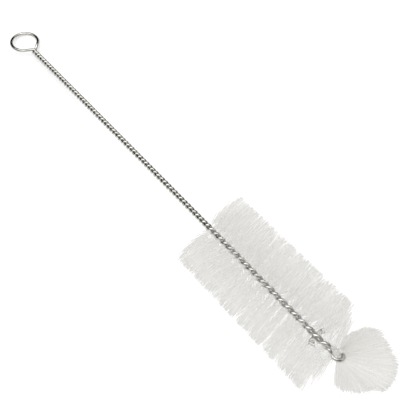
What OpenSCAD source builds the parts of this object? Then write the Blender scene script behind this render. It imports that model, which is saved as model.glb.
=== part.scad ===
// Bottle brush: one wire folded in half and twisted, with straight nylon
// bristles gripped between its two legs. One leg ends in a finger ring, and
// the fold at the tip is an eye that holds a tuft of folded bristles.
// The brush lies at rest on the rear of its head and on the ring, head
// towards +X, with z = 0 as the surface that it lies on.

/* [Overall] */
// Bare twisted stem, from the ring's neck to the first bristle
stem_length = 216; // [120:1:320]
// Stretch of the twisted wire that grips bristles
head_length = 107; // [60:1:160]
// Diameter of the bristle head
head_d = 60; // [40:1:80]
// Length of each half of a tuft bristle, from its fold
tuft_reach = 36; // [20:1:44]

/* [Wire] */
// Diameter of the wire
wire_d = 2.2; // [1.6:0.1:2.6]
// Length of one full turn of the bare stem in wire diameters, before whole half turns are made of it
stem_turn = 3.2; // [3.2:0.05:6]
// Half turns of the wire along the head, with one row of bristles each
row_count = 20; // [12:1:22]
// How many times longer the last turn of the head is than its first
pitch_growth = 1.43; // [1.1:0.01:1.8]

/* [Bristles] */
// Diameter of one nylon bristle
bristle_d = 0.4; // [0.3:0.05:0.5]
// Free space between a bristle and its neighbours, and between it and the wire
bristle_gap = 0.05; // [0.03:0.01:0.1]
// Depth of the flat that the surface presses into the rear of the head
rest_flat = 2.5; // [1:0.1:4]

/* [Finger ring] */
// Clear diameter inside the ring
ring_inner_d = 19; // [14:0.5:26]
// Distance from the neck to the middle of the ring
ring_reach = 13.5; // [13:0.1:22]
// Angle by which the ring leans sideways off the stem's line
ring_lean = 0; // [0:1:20]
// Roll of the ring's plane about the stem
ring_roll = -12; // [-20:1:20]

/* [Tip eye] */
// Width of the eye over the wire
eye_w = 10.2; // [9:0.1:12.6]
// Length over which the twist dies out behind the eye
eye_fade = 1.5; // [1.5:0.1:5]
// Length over which the two legs spread to the eye's full width
eye_flare = 5; // [5:0.1:7]
// How far the fold runs askew, as a slope
eye_skew = 0.15; // [0:0.01:0.2]
// Roll of the eye's plane about the stem
eye_roll = -30; // [-45:1:45]

/* [Tuft] */
// Angle that the tuft fans out to each side of its own middle
tuft_spread = 42; // [30:1:62]
// Angle by which the middle of the tuft leans sideways off the stem's line
tuft_lean = 14; // [0:1:25]
// Angle between the eye's plane and the foremost bristles
tuft_first_rise = 31; // [31:1:40]
// Angle between the eye's plane and the rearmost bristles
tuft_last_rise = 76; // [60:1:80]

/* [Hidden] */
$fn = 24;
// Sides of the wire's section
WIRE_SIDES = 8;
// Steps of each leg along the bare stem, and in one full turn of the head
STEM_STEPS = 242;
HEAD_STEPS = 9;
// Steps of the wire around the ring, along its neck, and around and beside the eye
RING_STEPS = 32;
NECK_STEPS = 4;
FADE_STEPS = 3;
FLARE_STEPS = 4;
FOLD_STEPS = 12;
// Passes that settle the slope at which the brush lies
SLOPE_PASSES = 12;

wire_r = wire_d / 2;
bristle_r = bristle_d / 2;
bristle_step = bristle_d + bristle_gap;
grip_r = wire_r + bristle_r + bristle_gap;
stem_pitch = stem_turn * wire_d;
head_end = stem_length + head_length;
twist_end = head_end + eye_fade;
eye_middle = twist_end + eye_flare;
eye_r = eye_w / 2 - wire_r;
ring_r = ring_inner_d / 2 + wire_r;
neck_angle = 90 + ring_roll;

function smooth(x) = let (s = min(max(x, 0), 1)) s * s * (3 - 2 * s);
function unit(v) = v / norm(v);
function heading(v) = atan2(v[1], v[0]);
function radial(angle) = [0, cos(angle), sin(angle)];

// Twist of the head: its turns grow longer towards the tip, then it dies out
head_twist = 180 * row_count;
end_rate = head_twist * (pitch_growth - 1) / (pitch_growth * ln(pitch_growth) * head_length);
fade_twist = end_rate * eye_fade / 2;
function head_turn(t) =
    let (u = (t - stem_length) / head_length)
    head_twist * ln(1 + (pitch_growth - 1) * u) / ln(pitch_growth);
function fade_turn(t) = let (u = (t - head_end) / eye_fade) fade_twist * u * (2 - u);

// Twist of the stem: whole half turns, and what brings the eye to its own roll
odd_twist = neck_angle - eye_roll - fade_twist;
stem_twist = odd_twist + 180 * round((360 * stem_length / stem_pitch - odd_twist) / 180);

// Place along the head where row number k begins
function row_start(k) =
    stem_length + head_length * (pow(pitch_growth, k / row_count) - 1) / (pitch_growth - 1);

// Angle of the first leg about the stem at place t along it, with a left-hand twist
function leg_angle(t) =
    neck_angle
    - stem_twist * min(t, stem_length) / stem_length
    - (t > stem_length ? head_turn(min(t, head_end)) : 0)
    - (t > head_end ? fade_turn(t) : 0);

// The legs touch in the bare stem, flat on flat halfway between two steps, and open over
// half a turn to let the bristles in
stem_leg_r = wire_r * cos(180 / WIRE_SIDES) / cos(stem_twist / STEM_STEPS / 2);
function leg_r(t) =
    let (opening = stem_pitch / 2)
    stem_leg_r + (grip_r - stem_leg_r) * smooth((t - stem_length + opening) / opening);

stem_places = [for (i = [0:STEM_STEPS - 1]) stem_length * i / STEM_STEPS];
head_places = let (n = round(head_twist / 360 * HEAD_STEPS))
    [for (i = [0:n]) row_start(row_count * i / n)];
fade_places = [for (i = [1:FADE_STEPS]) head_end + eye_fade * i / FADE_STEPS];
leg_places = concat(stem_places, head_places, fade_places);

// A way along the wire is a list of [point on its centre line, direction that one flat faces]
function leg_way(places, side) =
    [for (t = places) let (out = radial(leg_angle(t) + side)) [[t, 0, 0] + leg_r(t) * out, -out]];

// Finger ring, laid out in its own plane: x runs away from the head, y to the side
ring_middle = ring_reach * [cos(ring_lean), -sin(ring_lean)];
ring_end = [wire_r / 2, wire_d + bristle_gap];
// Angle about the ring's middle at which a straight from point p meets the ring
function ring_touch(p, side) =
    heading(p - ring_middle) + side * acos(ring_r / norm(p - ring_middle));
first_touch = ring_touch(ring_end, -1);
last_touch = ring_touch([0, 0], 1) - 360;
function on_ring(angle) = ring_middle + ring_r * [cos(angle), sin(angle)];
// Point of the ring's plane, lifted off it, in the stem's own directions
function ring_point(p, lift) =
    [-p[0], 0, 0] + p[1] * radial(ring_roll) + lift * radial(neck_angle);
ring_way = let (facing = -radial(neck_angle), leaving = on_ring(last_touch)) concat(
    [[ring_point(ring_end, 0), facing]],
    [for (i = [0:RING_STEPS])
        [ring_point(on_ring(first_touch + (last_touch - first_touch) * i / RING_STEPS), 0), facing]],
    [for (i = [1:NECK_STEPS - 1]) let (s = i / NECK_STEPS)
        [ring_point(leaving * (1 - s), stem_leg_r * smooth(s)), facing]]);

// Tip eye: the legs spread and meet in a round fold, askew to the side
eye_side = radial(leg_angle(twist_end));
function eye_point(x, y) =
    [x + eye_skew * smooth((x - twist_end) / eye_flare) * y * sign(eye_side[1]), 0, 0] + y * eye_side;
flare_half = [for (i = [1:FLARE_STEPS]) let (s = i / FLARE_STEPS)
    [twist_end + eye_flare * s, grip_r + (eye_r - grip_r) * smooth(s)]];
eye_way = concat(
    [for (p = flare_half) [eye_point(p[0], p[1]), -eye_side]],
    [for (i = [1:FOLD_STEPS - 1]) let (a = 180 * i / FOLD_STEPS, out = [sin(a), 0, 0] + cos(a) * eye_side)
        [eye_point(eye_middle + eye_r * sin(a), eye_r * cos(a)), -out]],
    [for (i = [FLARE_STEPS - 1:-1:0]) let (p = flare_half[i])
        [eye_point(p[0], -p[1]), eye_side]]);

// Half the width between the wire's centre lines at place x, ahead of the eye's middle
slim_r = (1 - eye_skew / 2) * eye_r;
function eye_half(x) = x > 0 ? sqrt(max(slim_r * slim_r - x * x, 0)) :
    grip_r + (slim_r - grip_r) * smooth(1 + (x - eye_skew * eye_r / 2) / eye_flare);

// Tuft: a bundle of bristles folded in the eye, which rise more steeply the further back they
// are. A bristle passes the wire where its fold is this far off the wire's centre line
function fold_clearance(x) = grip_r / sin(tuft_rise(x));
// Half the width of the layer at place x that the eye has room for
function eye_room(x) =
    let (c = fold_clearance(x)) min([for (u = [-1:1/8:1]) eye_half(x + c * u) - c * sqrt(1 - u * u)]);
bundle_r = slim_r - grip_r / sin(tuft_first_rise);
function tuft_rise(x) =
    tuft_first_rise + (tuft_last_rise - tuft_first_rise) * (bundle_r - x) / (2 * bundle_r);
// Places of its layers from x backwards, each clear of the one before it
function tuft_layers(x) = x < -bundle_r ? [] :
    concat([x], tuft_layers(x - bristle_step / sin(tuft_rise(x))));

back_places = [for (i = [len(leg_places) - 1:-1:0]) leg_places[i]];
wire_way = concat(ring_way, leg_way(leg_places, 0), eye_way, leg_way(back_places, 180));

// Rest: the ring touches the surface, and the first row is pressed flat by rest_flat
function ring_drop(slope) =
    let (down = [sin(slope), -sin(ring_roll) * cos(slope)])
    ring_middle * down + ring_r * norm(down);
function settled(slope, passes) = passes == 0 ? slope :
    let (rise = head_d / 2 * cos(slope) - rest_flat - ring_drop(slope) - wire_r)
    settled(asin(rise / stem_length), passes - 1);
rest_slope = settled(0, SLOPE_PASSES);
neck_height = ring_drop(rest_slope) + wire_r;
function axis_height(t) = neck_height + t * sin(rest_slope);
// The origin is under the middle of the brush's length
ring_far = ring_middle[0] + ring_r + wire_r;
tuft_far = eye_middle + bundle_r + tuft_reach * cos(tuft_first_rise);
middle_x = (tuft_far - ring_far) / 2 * cos(rest_slope);

function row_name(k) = str("bristle_row_", k < 9 ? "0" : "", k + 1);

// One section of the wire, as points around its centre line
function section(way, i) =
    let (
        here = way[i][0],
        before = way[max(i - 1, 0)][0],
        after = way[min(i + 1, len(way) - 1)][0],
        arriving = before == here ? after - here : here - before,
        parting = after == here ? here - before : after - here,
        along = unit(unit(arriving) + unit(parting)),
        across = unit(cross(along, way[i][1])),
        facing = cross(across, along)
    )
    [for (j = [0:WIRE_SIDES - 1]) let (a = 360 * (j - 0.5) / WIRE_SIDES)
        here + wire_r * (cos(a) * facing + sin(a) * across)];

// Solid rod of the wire's diameter along a way, closed by a flat cut at both ends
module rod(way) {
    last = len(way) - 1;
    points = [for (i = [0:last]) each section(way, i)];
    sides = [for (i = [0:last - 1], j = [0:WIRE_SIDES - 1])
        let (
            a = i * WIRE_SIDES + j,
            b = i * WIRE_SIDES + (j + 1) % WIRE_SIDES,
            c = b + WIRE_SIDES,
            d = a + WIRE_SIDES
        )
        each [[a, d, b], [d, c, b]]];
    first_cut = [for (j = [0:WIRE_SIDES - 1]) j];
    last_cut = [for (j = [WIRE_SIDES - 1:-1:0]) last * WIRE_SIDES + j];
    polyhedron(points, concat([first_cut], sides, [last_cut]));
}

// Lays the brush down from the stem's own directions, neck at 0 and head along +X
module lay_down() {
    translate([-middle_x, 0, neck_height]) rotate([0, -rest_slope, 0]) children();
}

module wire() {
    color("silver") lay_down() rod(wire_way);
}

// Straight bristle through the twist, cut short where it meets the surface
module bristle(t) {
    raised = (leg_angle(t) + 90) % 180;
    up = raised < 0 ? raised + 180 : raised;
    fall = sin(up) * cos(rest_slope);
    rim = bristle_r * sqrt(1 - fall * fall);
    lower_half = min(head_d / 2, (axis_height(t) - rim) / max(fall, 0.01));
    translate([t, 0, 0]) rotate([up - 90, 0, 0]) translate([0, 0, -lower_half])
        cylinder(d = bristle_d, h = lower_half + head_d / 2);
}

module bristle_row(k) {
    length = row_start(k + 1) - row_start(k);
    count = floor(length / bristle_step);
    color("whitesmoke") lay_down()
        for (i = [0:count - 1]) bristle(row_start(k) + length * (i + 0.5) / count);
}

// Half of a folded bristle, from its fold, in the eye's own directions
module tuft_half(turn, rise) {
    rotate([0, 0, turn]) rotate([0, 90 - rise, 0]) cylinder(d = bristle_d, h = tuft_reach);
}

module tuft_bristle(turn, rise) {
    tuft_half(turn, rise);
    tuft_half(turn, -rise);
    sphere(d = bristle_d);
}

module tip_tuft() {
    widest = sin(min(tuft_spread + tuft_lean, 90));
    color("white") lay_down() translate([eye_middle, 0, 0]) rotate([eye_roll, 0, 0])
        for (x = tuft_layers(bundle_r - bristle_r)) {
            rise = tuft_rise(x);
            half_room = eye_room(x);
            step = bristle_step / sqrt(1 - pow(widest * cos(rise), 2));
            gaps = floor(2 * half_room / step);
            for (j = [0:gaps]) {
                y = (j - gaps / 2) * step;
                translate([x, y, 0]) tuft_bristle(tuft_lean + tuft_spread * y / half_room, rise);
            }
        }
}

wire();
tip_tuft();
for (k = [0:row_count - 1])
    bristle_row(k);
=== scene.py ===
# Bottle brush: one twisted wire with a finger ring, a head of nylon bristles
# gripped in its twist, and a tuft of folded bristles in the eye at its tip.
import math

import bpy
import numpy as np
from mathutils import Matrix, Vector


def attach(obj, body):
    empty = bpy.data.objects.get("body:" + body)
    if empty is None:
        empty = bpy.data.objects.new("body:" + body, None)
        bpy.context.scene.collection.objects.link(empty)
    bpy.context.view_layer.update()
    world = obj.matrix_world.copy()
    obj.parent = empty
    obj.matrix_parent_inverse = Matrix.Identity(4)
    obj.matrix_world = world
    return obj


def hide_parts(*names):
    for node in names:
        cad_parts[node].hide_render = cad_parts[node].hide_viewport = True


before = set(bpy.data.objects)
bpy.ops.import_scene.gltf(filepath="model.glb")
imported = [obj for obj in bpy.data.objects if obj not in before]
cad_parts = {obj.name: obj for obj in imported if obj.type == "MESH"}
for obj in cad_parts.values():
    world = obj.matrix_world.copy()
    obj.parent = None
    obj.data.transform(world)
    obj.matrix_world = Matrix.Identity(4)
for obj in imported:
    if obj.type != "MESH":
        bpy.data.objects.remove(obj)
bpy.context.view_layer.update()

# ---------------------------------------------------------------- the wire
# One length of bright galvanised steel wire, drawn round and zinc coated. It
# is folded in half and twisted left-handed in a winding machine. One end is
# bent into the finger ring, and the fold at the far end is the tip eye.

# Sizes are in millimetres, and places along the stem count from the neck
WIRE_R = 1.1
STEM = 216.0
STEM_PITCH = 7.04
# One row of bristles lies in each half turn of the head. The twist opens
# towards the tip, to 1.43 times the pitch that it has at the rear
HEAD = 107.0
ROWS = 20
GROWTH = 1.43
# Distance of a leg from the axis with bristles in between, and the length over
# which the legs open to let them in
GRIP_R = 1.35
OPENING = 3.5
# Past the last row the twist runs out over FADE, and the legs part over FLARE
FADE = 1.5
FLARE = 5.0
EYE_R = 4.0
EYE_SKEW = 0.15
EYE_ROLL = -30.0
RING_R = 10.6
RING_REACH = 13.5
RING_ROLL = -12.0
CUT_END_GAP = 0.05
# It lies on its ring and on the rear of its head, and rises towards the tip
REST_SLOPE = math.radians(5.9491)
NECK = np.array([-167.213, 0.0, 4.951])
# It comes off the winder not quite straight, and is furthest out at BOW_AT
BOW = 1.35
BOW_AT = 316.0

HEAD_END = STEM + HEAD
TWIST_END = HEAD_END + FADE
EYE_MIDDLE = TWIST_END + FLARE
HEAD_TWIST = 180.0 * ROWS
FADE_TWIST = HEAD_TWIST * (GROWTH - 1) / (GROWTH * math.log(GROWTH) * HEAD) * FADE / 2
# The stem holds as many half turns as bring both the ring and the eye to their roll
ODD_TWIST = 90 + RING_ROLL - EYE_ROLL - FADE_TWIST
STEM_TWIST = ODD_TWIST + 180 * round((360 * STEM / STEM_PITCH - ODD_TWIST) / 180)


def ease(x):
    s = np.clip(x, 0.0, 1.0)
    return s * s * (3 - 2 * s)


def head_place(share):
    """Place along the stem at a share of the head's turns."""
    return STEM + HEAD * (GROWTH ** share - 1) / (GROWTH - 1)


def leg_angle(t):
    """Angle of the first leg round the stem, in degrees, at place t along it."""
    angle = 90 + RING_ROLL - STEM_TWIST * min(t, STEM) / STEM
    if t > STEM:
        u = (min(t, HEAD_END) - STEM) / HEAD
        angle -= HEAD_TWIST * math.log(1 + (GROWTH - 1) * u) / math.log(GROWTH)
    if t > HEAD_END:
        u = (t - HEAD_END) / FADE
        angle -= FADE_TWIST * u * (2 - u)
    return angle


def around(degrees):
    """Direction square to the stem, at an angle round it: 90 is up."""
    a = math.radians(degrees)
    return np.array([0.0, math.cos(a), math.sin(a)])


def bow(t):
    """How far the wire has bent to one side at place t. The eye is back in line."""
    back = ease((t - BOW_AT) / (EYE_MIDDLE - BOW_AT))
    return -BOW * np.clip(t / BOW_AT, 0, 1) ** 2 * (1 - back)


def lay_down(points, rooted=None):
    """Points in mm along and round the stem, as metres where the brush lies.

    Each follows the bow at its own place, or all at the place where they are rooted.
    """
    p = np.asarray(points, float)
    c, s = math.cos(REST_SLOPE), math.sin(REST_SLOPE)
    aside = bow(p[:, 0]) if rooted is None else bow(min(rooted, BOW_AT))
    turned = np.stack([p[:, 0] * c - p[:, 2] * s, p[:, 1] + aside, p[:, 0] * s + p[:, 2] * c], 1)
    return (turned + NECK) * 0.001


def new_object(name, data):
    thing = bpy.data.objects.new(name, data)
    bpy.context.scene.collection.objects.link(thing)
    return thing


def tubes(name, paths, radius, sides):
    """One mesh of round tubes with flat ends, each along its own path."""
    verts, faces, base = [], [], 0
    turn = np.arange(sides) * 2 * math.pi / sides
    for path in paths:
        n = len(path)
        along = np.gradient(path, axis=0)
        along /= np.linalg.norm(along, axis=1)[:, None]
        side = np.cross(along[0], [0.0, 0.0, 1.0])
        if np.linalg.norm(side) < 1e-3:
            side = np.cross(along[0], [0.0, 1.0, 0.0])
        # One side is carried from ring to ring, so that the tube's faces don't twist
        sideways = np.empty_like(path)
        for i in range(n):
            side = side - along[i] * np.dot(side, along[i])
            side /= np.linalg.norm(side)
            sideways[i] = side
        other = np.cross(along, sideways)
        ring = np.cos(turn)[:, None] * sideways[:, None] + np.sin(turn)[:, None] * other[:, None]
        verts.append((path[:, None] + radius * 0.001 * ring).reshape(-1, 3))
        rows = base + np.arange(n - 1)[:, None] * sides
        a = rows + np.arange(sides)
        b = rows + (np.arange(sides) + 1) % sides
        faces += np.stack([a, b, b + sides, a + sides], -1).reshape(-1, 4).tolist()
        faces.append(list(range(base + sides - 1, base - 1, -1)))
        faces.append(list(range(base + (n - 1) * sides, base + n * sides)))
        base += n * sides
    mesh = bpy.data.meshes.new(name)
    mesh.from_pydata(np.concatenate(verts).tolist(), [], faces)
    mesh.shade_smooth()
    mesh.update()
    return new_object(name, mesh)


def wire_route():
    """Centre line of the whole wire, from the ring's cut end to the end at the neck."""
    # Steps along each stretch of it
    ring_steps, stem_steps, head_steps, fade_steps, flare_steps, eye_steps = 72, 424, 180, 4, 10, 24
    middle = np.array([RING_REACH, 0.0])
    lift, across = around(90 + RING_ROLL), around(RING_ROLL)

    def on_plane(p, up=0.0):
        """Point p of the ring's plane, raised off it. There x runs away from the head."""
        return np.array([-p[0], 0, 0]) + p[1] * across + up * lift

    def touch(p, side):
        """Angle about the ring's middle at which a straight from p meets the ring."""
        d = np.asarray(p) - middle
        off = math.degrees(math.acos(RING_R / np.linalg.norm(d)))
        return math.degrees(math.atan2(d[1], d[0])) + side * off

    def on_ring(a):
        return middle + RING_R * np.array([math.cos(math.radians(a)), math.sin(math.radians(a))])

    cut_end = np.array([WIRE_R / 2, 2 * WIRE_R + CUT_END_GAP])
    first, last = touch(cut_end, -1), touch([0, 0], 1) - 360
    route = [on_plane(cut_end)]
    route += [on_plane(on_ring(first + (last - first) * i / ring_steps)) for i in range(ring_steps + 1)]
    # From the ring it runs straight to the neck, and climbs to the first leg's place
    leaving = on_ring(last)
    route += [on_plane(leaving * (1 - s), WIRE_R * ease(s)) for s in (0.15, 0.3, 0.45, 0.6, 0.75, 0.9)]

    def leg(t, turned):
        r = WIRE_R + (GRIP_R - WIRE_R) * ease((t - STEM + OPENING) / OPENING)
        return np.array([t, 0, 0]) + r * around(leg_angle(t) + turned)

    places = list(np.linspace(0, STEM, stem_steps, endpoint=False))
    places += [head_place(i / head_steps) for i in range(head_steps + 1)]
    places += [HEAD_END + FADE * i / fade_steps for i in range(1, fade_steps + 1)]
    route += [leg(t, 0) for t in places]

    side = around(leg_angle(TWIST_END))
    skew = math.copysign(1, side[1]) * EYE_SKEW

    def on_eye(x, y):
        return np.array([x + skew * ease((x - TWIST_END) / FLARE) * y, 0, 0]) + y * side

    flare = [(TWIST_END + FLARE * s, GRIP_R + (EYE_R - GRIP_R) * ease(s))
             for s in np.arange(1, flare_steps + 1) / flare_steps]
    route += [on_eye(x, y) for x, y in flare]
    for a in math.pi * np.arange(1, eye_steps) / eye_steps:
        route.append(on_eye(EYE_MIDDLE + EYE_R * math.sin(a), EYE_R * math.cos(a)))
    route += [on_eye(x, -y) for x, y in flare[::-1]]
    route += [leg(t, 180) for t in places[::-1]]
    return lay_down(route)


wire = tubes("twisted_wire", [wire_route()], WIRE_R, 16)


def srgb(text):
    """Linear red, green, blue and 1 from a hex colour."""
    c = [int(text[i:i + 2], 16) / 255 for i in (1, 3, 5)]
    return (*[x / 12.92 if x <= 0.04045 else ((x + 0.055) / 1.055) ** 2.4 for x in c], 1.0)


def add(tree, kind, settings=None, stops=(), **links):
    """Adds a node with its settings, a ramp's stops as (place, colour), and its links.

    A link or value is given by its socket's name, or in_0 for its number.
    """
    node = tree.nodes.new(kind)
    for key, value in (settings or {}).items():
        setattr(node, key, value)
    for i, (position, colour) in enumerate(stops):
        # A new ramp already has two stops
        element = node.color_ramp.elements[i] if i < 2 else node.color_ramp.elements.new(position)
        element.position = position
        element.color = colour
    for key, value in links.items():
        socket = node.inputs[int(key[3:])] if key.startswith("in_") else node.inputs[key.replace("_", " ")]
        if isinstance(value, bpy.types.NodeSocket):
            tree.links.new(value, socket)
        else:
            socket.default_value = value
    return node


def new_material(name):
    material = bpy.data.materials.new(name)
    material.use_nodes = True
    material.node_tree.nodes.clear()
    return material, material.node_tree


# Bright zinc over drawn steel: silvery and a little clouded, with a fine grain
# that softens what it mirrors. The real grain of about 0.05 mm is too fine to
# show, and is drawn eight times as coarse.
CLOUD = 2.4
GRAIN = 0.4
galvanised, tree = new_material("bright_galvanised_wire")
place = add(tree, "ShaderNodeTexCoord")
clouds = add(tree, "ShaderNodeTexNoise", Vector=place.outputs["Object"], Scale=1000 / CLOUD, Detail=3.0)
tone = add(tree, "ShaderNodeValToRGB", stops=((0.35, srgb("#C2C1BB")), (0.7, srgb("#E0DFD9"))),
           Fac=clouds.outputs["Fac"])
rough = add(tree, "ShaderNodeMapRange", Value=clouds.outputs["Fac"], To_Min=0.13, To_Max=0.24)
grain = add(tree, "ShaderNodeTexNoise", Vector=place.outputs["Object"], Scale=1000 / GRAIN, Detail=2.0)
bumps = add(tree, "ShaderNodeBump", Strength=0.12, Distance=0.0001, Height=grain.outputs["Fac"])
# Its near-black edge tint darkens the wire towards its outlines, whatever it mirrors there: painted dark
# edges, a painted shade along both sides of every strand.
zinc = add(tree, "ShaderNodeBsdfPrincipled", Base_Color=tone.outputs["Color"], Metallic=1.0,
           Specular_Tint=(0.1, 0.1, 0.1, 1.0), Roughness=rough.outputs["Result"],
           Normal=bumps.outputs["Normal"])
add(tree, "ShaderNodeOutputMaterial", Surface=zinc.outputs["BSDF"])
wire.data.materials.append(galvanised)
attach(wire, "root")
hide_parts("wire")

# ---------------------------------------------------------- body bristles
# Straight natural nylon filaments, cut to one length and laid as a flat sheet
# between the wire's legs. The twist pinches each one at its middle and turns
# the sheet into a spiral, one row of bristles for each half turn.
HEAD_R = 30.0
BRISTLE_R = 0.13
# As many as this in a row of the rearmost one's length, and more in longer rows.
# The real head has some 1,500 in all. Over three times as many are drawn, each one
# clearer, because so few lines wouldn't give the even haze of clear nylon
PER_ROW = 215
# How unevenly they follow one another, as a share of their spacing
JITTER = 0.4
# More are crowded in at the front: all round the wire behind the eye, and between the
# eye's legs. Places count from the head's end, and turns from square to the eye's plane
BEHIND_EYE = 100
BEHIND_EYE_PLACES = (-3.0, 0.3)
IN_EYE = 160
IN_EYE_PLACES = (1.0, 6.5)
IN_EYE_TURNS = (-8, 75)
IN_EYE_ASIDE = 2
# Neighbours cling together, in this many clumps a row. What is irregular in a
# bristle is partly its clump's and partly its own
CLUMPS = 5
# How unevenly they stand round the wire, in degrees: rows, then degrees at those rows
SWING = ([0, 10, 17, 20], [18, 18, 20, 30])
SWING_SHARED = 0.45
SWING_OWN = 0.9
# How unevenly they are gripped, along the wire and off its axis
GRIP_ALONG = 0.3
GRIP_OFF = 0.2
# Those that would stand at this angle, on top of the wire, have parted to its two
# sides by so many degrees
TOP = 100
PARTING = 4
# How far a half leans towards the tip, as a share of its length
LEFT = ([0, 3, 7, 17, 20], [0.05, -0.02, 0.05, 0.14, 0.21])
RIGHT = ([0, 3, 7, 17, 18.3, 20], [0.05, -0.01, 0.05, 0.12, 0.0, -0.3])
UPPER = ([0, 5, 10, 18, 20], [0.24, 0.15, 0.08, 0.02, -0.12])
LOWER = ([0, 10, 18, 20], [0.05, 0.05, 0.07, 0.02])
# How uneven that lean is, and how much of this is the clump's
LOOSE = ([0, 2, 10, 19, 20], [0.045, 0.07, 0.07, 0.08, 0.06])
CLING = ([0, 10, 17, 20], [0.55, 0.5, 0.35, 0.2])
CURL = 0.012
# A bristle's own reach, as shares of HEAD_R, and how far the two sides reach past it
REACH = (0.975, 1.015)
REACH_RIGHT = 1.025
REACH_LEFT = 1.01
# One that has swung by 20 degrees reaches this share less far. The loss grows with
# the square of the swing, down to a least reach
SWUNG_LOSS = 0.02
LEAST_REACH = 0.9
# Few halves stray, and none on the right from this row on, beside the tuft
STRAYS = 0.03
STRAY_LEAN = 0.12
STRAYS_END_ROW = 18
# The tuft pushes the foremost ones on the right back, and lower down less so
PUSHED_FROM_ROW = 19.2
PUSHED_ACROSS = 0.35
PUSHED_LEAN = -0.22
PUSHED_LESS_BELOW = 0.45
AHEAD_BELOW = 0.35
# How far a bristle lies over for each mm that it would go under the surface
LIES_OVER = 0.9
FORWARD = np.array([1.0, 0, 0])
UPRIGHT = np.array([math.sin(REST_SLOPE), 0, math.cos(REST_SLOPE)])
LEVEL = np.array([math.cos(REST_SLOPE), 0, -math.sin(REST_SLOPE)])
rng = np.random.default_rng(7)


def half_bristle(start, out, lean, curl, length):
    """One half of a bristle from the wire outwards, leaned and curled along the stem."""
    u = np.linspace(0, 1, 6)
    bend = lean * u + curl[0] * u * u
    drift = curl[1] * u * u
    points = u[:, None] * out + bend[:, None] * FORWARD + drift[:, None] * np.cross(FORWARD, out)
    points = start + length * points
    # Where it meets the surface it lies over on it
    for p in points:
        under = BRISTLE_R - (NECK[2] + p[0] * UPRIGHT[0] + p[2] * UPRIGHT[2])
        if under > 0:
            p += under * (UPRIGHT + math.copysign(LIES_OVER, bend[-1]) * LEVEL)
    return points


def even_lean(row, across, up, down):
    """Lean of an undisturbed half. It points across to the right, up and down by these shares."""
    left, right, upper, lower = [np.interp(row, *table) for table in (LEFT, RIGHT, UPPER, LOWER)]
    outer = left + (right - left) * ease(0.5 + across)
    return outer + (upper - outer) * up + (lower - outer) * down


# Natural nylon: clear and faintly warm, with a milky look where many filaments
# stand loose. Light passes on through it to the ones behind.
def nylon_filament(name, clear_roots):
    material, tree = new_material(name)
    each = add(tree, "ShaderNodeNewGeometry").outputs["Random Per Island"]
    tint = add(tree, "ShaderNodeValToRGB", stops=((0.0, srgb("#EFEEEA")), (1.0, srgb("#FDFCF9"))), Fac=each)
    # One in twenty is milkier than the rest, and shows as a thin bright line
    milky = add(tree, "ShaderNodeMapRange", Value=each, From_Min=0.95, From_Max=1.0, To_Min=0.43, To_Max=0.8)
    cover = milky.outputs["Result"]
    rays = add(tree, "ShaderNodeLightPath")
    soft = add(tree, "ShaderNodeMath", {"operation": "MAXIMUM"}, in_0=rays.outputs["Is Shadow Ray"],
               in_1=rays.outputs["Is Diffuse Ray"])
    if clear_roots:
        # Metres out from the wire's axis, and ahead along it from the rear of the head
        rear, front = lay_down([[STEM, 0, 0], [BOW_AT, 0, 0]])
        axis = tuple((front - rear) / np.linalg.norm(front - rear))
        place = add(tree, "ShaderNodeTexCoord")
        off_rear = add(tree, "ShaderNodeVectorMath", {"operation": "SUBTRACT"}, in_0=place.outputs["Object"],
                       in_1=tuple(rear)).outputs["Vector"]
        off_axis = add(tree, "ShaderNodeVectorMath", {"operation": "CROSS_PRODUCT"}, in_0=off_rear, in_1=axis)
        out = add(tree, "ShaderNodeVectorMath", {"operation": "LENGTH"}, in_0=off_axis.outputs["Vector"])
        ahead = add(tree, "ShaderNodeVectorMath", {"operation": "DOT_PRODUCT"}, in_0=off_rear,
                    in_1=axis).outputs["Value"]
        # Pressed together at the wire they stay clear, and the wire shows through. The
        # locking wires hold them apart, and there they stay clear further out. Their
        # split ends are thinner, and fade out
        apart = add(tree, "ShaderNodeMapRange", Value=ahead, From_Min=0.090, From_Max=0.098, To_Min=0.032,
                    To_Max=0.058)
        part = add(tree, "ShaderNodeMapRange", Value=out.outputs["Value"], From_Max=apart.outputs["Result"])
        levels = ((0.14, 0.035), (0.42, 1.0), (0.87, 1.0), (0.99, 0.45))
        loose = add(tree, "ShaderNodeValToRGB", stops=[(stop, (x, x, x, 1.0)) for stop, x in levels],
                    Fac=part.outputs["Result"])
        loose.color_ramp.interpolation = "EASE"
        # At the tip they are crowded, and the wire shows less
        crowded = add(tree, "ShaderNodeMapRange", Value=ahead, From_Min=0.102, From_Max=0.112, To_Max=0.3)
        seen = add(tree, "ShaderNodeMath", {"operation": "MAXIMUM"}, in_0=loose.outputs["Color"],
                   in_1=crowded.outputs["Result"])
        cover = add(tree, "ShaderNodeMath", {"operation": "MULTIPLY"}, in_0=seen.outputs[0],
                    in_1=cover).outputs[0]
        soft = add(tree, "ShaderNodeMath", {"operation": "MAXIMUM"}, in_0=soft.outputs[0],
                   in_1=rays.outputs["Is Glossy Ray"])
    body = add(tree, "ShaderNodeBsdfPrincipled", Base_Color=tint.outputs["Color"], Roughness=0.4, IOR=1.53,
               Alpha=cover)
    # Most of the light that is on its way to other filaments passes through
    through = add(tree, "ShaderNodeMath", {"operation": "MULTIPLY"}, in_0=soft.outputs[0], in_1=0.92)
    clear = add(tree, "ShaderNodeBsdfTransparent")
    lit = add(tree, "ShaderNodeMixShader", Fac=through.outputs[0], in_1=body.outputs["BSDF"],
              in_2=clear.outputs["BSDF"])
    add(tree, "ShaderNodeOutputMaterial", Surface=lit.outputs["Shader"])
    return material


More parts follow.
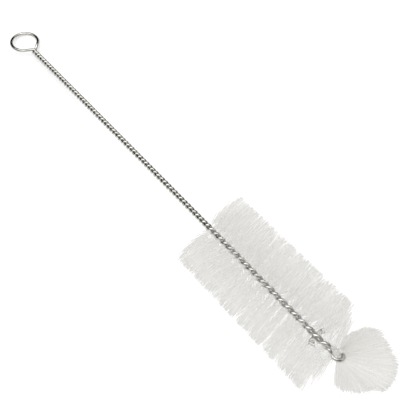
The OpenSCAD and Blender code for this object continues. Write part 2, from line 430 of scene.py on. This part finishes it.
nylon = nylon_filament("natural_nylon_bristle", True)
for k in range(ROWS):
    paths = []
    in_row = round(PER_ROW * GROWTH ** ((k + 0.5) / ROWS))
    crowd = BEHIND_EYE + IN_EYE if k == ROWS - 1 else 0
    for i in range(in_row + crowd):
        row_place = k + (i + 0.5 + rng.uniform(-JITTER, JITTER)) / in_row
        t = head_place(min(row_place, ROWS) / ROWS)
        if i % (in_row // CLUMPS) == 0:
            shared = rng.normal(0, 1, 3)
        swing = np.interp(row_place, *SWING) * (SWING_SHARED * shared[0] + SWING_OWN * rng.normal())
        angle = leg_angle(t) + 90 + swing
        start = (t + rng.normal(0, GRIP_ALONG)) * FORWARD
        start += around(leg_angle(t)) * rng.uniform(-GRIP_OFF, GRIP_OFF)
        if i >= in_row + BEHIND_EYE:
            # Held where the legs open into the eye, and pointing out of it
            row_place, t = ROWS, HEAD_END + rng.uniform(*IN_EYE_PLACES)
            angle, swing = EYE_ROLL + 90 + rng.uniform(*IN_EYE_TURNS), 0
            aside = around(EYE_ROLL) * rng.uniform(-IN_EYE_ASIDE, IN_EYE_ASIDE)
            start = t * FORWARD + aside * ease((t - TWIST_END) / FLARE)
        elif i >= in_row:
            # Pressed against the rear of the eye, all round it
            row_place, t = ROWS, HEAD_END + rng.uniform(*BEHIND_EYE_PLACES)
            angle, swing = rng.uniform(0, 180), 0
            start = t * FORWARD
        off_top = (angle - TOP + 90) % 180 - 90
        angle += math.copysign(PARTING, off_top) * (1 - abs(off_top) / 90)
        out = around(angle)
        loose, cling = np.interp(row_place, *LOOSE), np.interp(row_place, *CLING)
        halves = []
        for side in (1, -1):
            across, up, down = side * out[1], max(0.0, side * out[2]), max(0.0, -side * out[2])
            lean = even_lean(row_place, across, up, down)
            lean += loose * (cling * shared[1 if side > 0 else 2] + (1 - cling) * rng.normal())
            curl = rng.normal(0, CURL, 2)
            if rng.random() < STRAYS and (row_place < STRAYS_END_ROW or across < 0):
                lean += rng.normal(0, STRAY_LEAN)
            if row_place > PUSHED_FROM_ROW and across > PUSHED_ACROSS:
                lean = min(lean + AHEAD_BELOW * down, PUSHED_LEAN + PUSHED_LESS_BELOW * down)
            # Cut to one length. One that has swung lies askew in the twist, and reaches
            # less far, as a leaning one does
            reach = HEAD_R * rng.uniform(*REACH) * max(LEAST_REACH, 1 - SWUNG_LOSS * (swing / 20) ** 2)
            reach *= (REACH_RIGHT if across > 0 else REACH_LEFT) / math.sqrt(1 + lean * lean)
            halves.append(half_bristle(start, out * side, lean, curl, reach))
        paths.append(lay_down(np.concatenate([halves[1][::-1], halves[0][1:]]), rooted=t))
    row = tubes(f"bristles_{k + 1:02d}", paths, BRISTLE_R, 5)
    row.data.materials.append(nylon)
    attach(row, "root")
    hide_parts(f"bristle_row_{k + 1:02d}")

# ----------------------------------------------------------- locking wires
# Short thinner steel wires, pushed through the twist behind the tip. Their cut
# ends are bent out on both sides, and keep the foremost row from sliding off.
LOCK_R = 0.85
LOCK_AT = 313.5
# A strand's bends from end to end, and how far the strands splay at each bend
LOCK_BENDS = np.array([
    (1.8, -6.8, 5.0), (1.0, -5.5, 4.0), (0.4, -3.9, 2.5), (0.0, -1.6, 0.6), (0.0, 0.0, 0.0),
    (0.0, 1.2, 1.4), (0.4, 2.4, 3.1), (1.0, 4.0, 4.8), (2.2, 5.6, 6.3),
])
LOCK_SPLAY = np.array([1.5, 1.0, 0.7, 0.3, 0.0, 0.2, 0.6, 1.0, 1.5])
strands = []
for k in (-1.0, -0.35, 0.3, 1.0):
    splay = LOCK_SPLAY[:, None] * [k, 0.35 * k, 0.3 * k * k]
    strands.append(lay_down(LOCK_BENDS + splay + [LOCK_AT, 0, 0], rooted=LOCK_AT))
lock = tubes("locking_wires", strands, LOCK_R, 10)
lock.data.materials.append(galvanised)
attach(lock, "root")

# ---------------------------------------------------------------- tip tuft
# A bundle of longer nylon filaments, pushed through the eye before it is
# pulled tight. Each one folds in the eye, and its two halves fan out.
TUFT_R = 0.13
TUFT_COUNT = 760
# The fan is a bent sheet, rolled so far about the stem. Each list gives turns
# across it, then how far it tilts out of its plane there, and how far it reaches
FAN_ROLL = 12.3
FAN_TILT = ([-50, -38, -23, 2, 18, 38, 55, 72, 88, 116], [-54, -49, -48, -30, 0, 17, 28, 34, 50, 70])
FAN_REACH = ([-50, -40, -30, -20, 0, 20, 40, 50, 60, 70, 80, 90, 100, 110],
             [26.5, 28, 29.5, 31, 30.2, 30.4, 33.1, 31.5, 32, 30.8, 31.0, 30, 23, 18])
# Its two sides, each from a turn onwards by so many degrees
FULL_FROM, FULL_TURN = 8, 102
THIN_FROM, THIN_TURN = 13, -63
# How unevenly they are turned and tilted, in degrees, and curled
TURN_SPREAD = 2.5
TILT_SPREAD = 5
TUFT_CURL = 0.015
# Each one folds inside the eye: so far behind its middle, aside and up out of it
FOLD_BEHIND = 0.5
FOLD_SPREAD = 0.6
FOLD_ASIDE = 1.8
FOLD_UP = 1.2
INSIDE_R = 1.9
# They bear on the eye's wire, this far over or under its middle. Those turned
# further back than OVER_FROM pass over it. They leave the eye within EYE_TURNS
EYE_BEARING = 1.35
BEARING_SPREAD = 0.1
OVER_FROM = 74
EYE_TURNS = (-75, 110)
# Their own reach, as shares of the fan's
TUFT_REACH = (0.96, 1.0)
# Towards its two ends, outside these turns, some stray past its edge
STRAY_TURNS = (-26, 88)
STRAY_SHARE = 0.06
STRAY_LEAST = 1.05
STRAY_MOST_THIN = 1.42
STRAY_MOST_FULL = 1.12
eye_side, eye_up = around(EYE_ROLL), around(EYE_ROLL + 90)
fan_across, fan_face = around(FAN_ROLL), around(FAN_ROLL + 90)


def fan_way(turn, tilt):
    turn, tilt = math.radians(turn), math.radians(tilt)
    flat = math.cos(turn) * FORWARD + math.sin(turn) * fan_across
    return math.cos(tilt) * flat + math.sin(tilt) * fan_face


paths = []
for i in range(TUFT_COUNT):
    share = (i + rng.uniform(0, 1)) / TUFT_COUNT
    fold = (EYE_MIDDLE - FOLD_BEHIND + rng.normal(0, FOLD_SPREAD)) * FORWARD
    fold += rng.uniform(-FOLD_ASIDE, FOLD_ASIDE) * eye_side + FOLD_UP * eye_up
    halves = []
    for side in (1, -1):
        # One in three has both its halves on the fuller side
        if i % 3 == 0 and side < 0:
            side, share = 1, 1 - share
        turn = FULL_FROM + FULL_TURN * share if side > 0 else THIN_FROM + THIN_TURN * share
        turn += rng.normal(0, TURN_SPREAD)
        tilt = np.interp(turn, *FAN_TILT) + side * abs(rng.normal(0, TILT_SPREAD))
        way = fan_way(turn, tilt)
        curve = rng.normal(0, TUFT_CURL, 3)
        over = EYE_BEARING if turn > OVER_FROM + rng.normal(0, 5) else -EYE_BEARING
        aside = math.radians(np.clip(turn, *EYE_TURNS))
        way_out = math.cos(aside) * FORWARD + math.sin(aside) * eye_side
        bearing = over + rng.uniform(-BEARING_SPREAD, BEARING_SPREAD)
        root = EYE_MIDDLE * FORWARD + EYE_R * way_out + bearing * eye_up
        inside = EYE_MIDDLE * FORWARD + INSIDE_R * way_out + 0.3 * over * eye_up
        stray = rng.random() < STRAY_SHARE and not STRAY_TURNS[0] < turn < STRAY_TURNS[1]
        reach = np.interp(turn, *FAN_REACH)
        if stray:
            reach *= rng.uniform(STRAY_LEAST, STRAY_MOST_THIN if turn < 0 else STRAY_MOST_FULL)
        else:
            reach *= rng.uniform(*TUFT_REACH)
        u = np.linspace(0, 1, 8)[:, None]
        halves.append(np.concatenate([[fold, inside], root + reach * (way * u + curve * u * u)]))
    paths.append(lay_down(np.concatenate([halves[1][::-1], halves[0][1:]])))
tuft = tubes("tip_fan", paths, TUFT_R, 5)
tuft.data.materials.append(nylon_filament("natural_nylon_tuft", False))
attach(tuft, "root")
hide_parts("tip_tuft")

# ------------------------------------------------- surface, light, camera
# The brush lies on a sheet of matt white paper. To whoever looks at it, straight
# or in the wire, the paper is lifted to full white, and it keeps its shadows.
HALF_SIDE = 1.2
corners = [(HALF_SIDE * x, HALF_SIDE * y, 0) for x, y in ((-1, -1), (1, -1), (1, 1), (-1, 1))]
floor_mesh = bpy.data.meshes.new("white_surface")
floor_mesh.from_pydata(corners, [], [(0, 1, 2, 3)])
surface = new_object("white_surface", floor_mesh)


def looked_at(tree):
    """1 for what is seen straight, through something clear or in a mirror, and else 0."""
    rays = add(tree, "ShaderNodeLightPath").outputs
    seen = add(tree, "ShaderNodeMath", {"operation": "MAXIMUM"}, in_0=rays["Is Camera Ray"],
               in_1=rays["Is Transmission Ray"])
    seen = add(tree, "ShaderNodeMath", {"operation": "MAXIMUM"}, in_0=seen.outputs[0],
               in_1=rays["Is Glossy Ray"])
    return seen.outputs[0]


paper, tree = new_material("white_paper_sweep")
lift = add(tree, "ShaderNodeMath", {"operation": "MULTIPLY"}, in_0=looked_at(tree), in_1=0.25)
matt = add(tree, "ShaderNodeBsdfDiffuse", Color=srgb("#F4F4F4"))
glow = add(tree, "ShaderNodeEmission", Color=srgb("#FFFFFF"), Strength=lift.outputs[0])
both = add(tree, "ShaderNodeAddShader", in_0=matt.outputs[0], in_1=glow.outputs[0])
add(tree, "ShaderNodeOutputMaterial", Surface=both.outputs[0])
floor_mesh.materials.append(paper)

# The room is a white tent with a softbox at its top
world = bpy.data.worlds.new("studio")
bpy.context.scene.world = world
world.use_nodes = True
tree = world.node_tree
tree.nodes.clear()
level = add(tree, "ShaderNodeMapRange", Value=looked_at(tree), To_Min=0.7, To_Max=1.0)
back = add(tree, "ShaderNodeBackground", Color=srgb("#FFFFFF"), Strength=level.outputs["Result"])
add(tree, "ShaderNodeOutputWorld", Surface=back.outputs[0])
light = bpy.data.lights.new("overhead_softbox", "AREA")
light.shape = "SQUARE"
light.size = 2.2
light.energy = 19
lamp = new_object("overhead_softbox", light)
lamp.location = (0, 0, 2.2)

# Black flags round the table are there for the wire alone, which mirrors them as
# dark lines along its sides
FLAG_COUNT = 12
FLAG_R = 3
FLAG_HEIGHTS = (0.02, 2.7)
velvet, tree = new_material("black_velvet")
pile = add(tree, "ShaderNodeBsdfDiffuse", Color=srgb("#101010"))
add(tree, "ShaderNodeOutputMaterial", Surface=pile.outputs[0])
posts = [math.radians(360 * i / FLAG_COUNT) for i in range(FLAG_COUNT)]
corners = [(FLAG_R * math.cos(a), FLAG_R * math.sin(a), z) for z in FLAG_HEIGHTS for a in posts]
cloths = [(i, (i + 1) % FLAG_COUNT, FLAG_COUNT + (i + 1) % FLAG_COUNT, FLAG_COUNT + i)
          for i in range(FLAG_COUNT)]
flag_mesh = bpy.data.meshes.new("flags")
flag_mesh.from_pydata(corners, [], cloths)
flag_mesh.materials.append(velvet)
flags = new_object("flags", flag_mesh)
flags.visible_camera = flags.visible_diffuse = flags.visible_shadow = flags.visible_transmission = False

# The picture is 416 pixels wide, and the eye point lies 500 pixels behind it
camera = new_object("camera", bpy.data.cameras.new("camera"))
camera.data.sensor_width = 36
camera.data.lens = 500 / 416 * 36
camera.data.clip_start = 0.01
azimuth, elevation = math.radians(47.643), math.radians(70.543)
backward = Vector((math.sin(azimuth) * math.cos(elevation), -math.cos(azimuth) * math.cos(elevation),
                   math.sin(elevation)))
camera.location = (0.12111, -0.06855, 0.35017)
camera.rotation_mode = "QUATERNION"
camera.rotation_quaternion = (-backward).to_track_quat("-Z", "Y")
scene = bpy.context.scene
scene.camera = camera
scene.view_settings.view_transform = "Standard"
# A look through the head crosses far more bristles than Blender's own limit allows
scene.cycles.transparent_max_bounces = 200
scene.cycles.diffuse_bounces = 10
